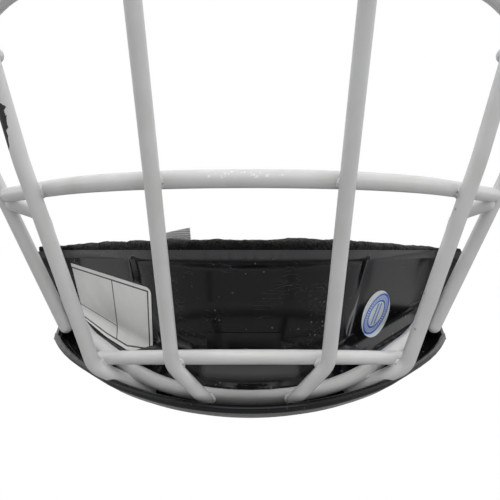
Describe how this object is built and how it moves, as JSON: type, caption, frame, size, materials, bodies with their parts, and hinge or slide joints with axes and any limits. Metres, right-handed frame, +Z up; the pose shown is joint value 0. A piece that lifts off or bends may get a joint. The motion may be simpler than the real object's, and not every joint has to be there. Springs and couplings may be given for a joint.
{
  "type": "ice hockey face cage",
  "caption": "Coated wire face cage with a moulded chin cup and foam liner that swings up on two clips fixed to the front of a helmet.",
  "frame": {"origin": "midway between the two clip holes, on the face that bears against the helmet", "axes": "+Z up, +X to the viewer's right, -Y towards the front, as worn"},
  "size_m": [0.1746, 0.1202, 0.2028],
  "materials": {
    "coated_wire": "light grey-white dipped coating",
    "cup_plastic": "glossy black moulding",
    "foam": "black closed-cell foam",
    "white_label": "white film",
    "black_label": "black film",
    "clip_plastic": "black nylon",
    "webbing": "light grey woven tape"
  },
  "bodies": {
    "helmet_clips": {"clip_left": "clip_plastic", "clip_right": "clip_plastic"},
    "cage": {"frame_wire": "coated_wire", "inner_upright_left": "coated_wire", "inner_upright_right": "coated_wire", "outer_upright_left": "coated_wire", "outer_upright_right": "coated_wire", "brow_wire": "coated_wire", "cheek_wire": "coated_wire", "mouth_wire": "coated_wire", "chin_wire": "coated_wire", "chin_loop_wire": "coated_wire", "side_brace_left": "coated_wire", "side_brace_right": "coated_wire", "chin_cup_shell": "cup_plastic", "foam_liner": "foam", "side_label": "white_label", "size_label": "black_label", "round_seal": "white_label", "strap_tab": "webbing"}
  },
  "joints": [
    {"name": "cage_swing", "type": "hinge", "parent": "helmet_clips", "child": "cage", "pos_m": [0, -0.0042, -0.014], "axis": [-1, 0, 0], "range_deg": [0, 100]}
  ]
}
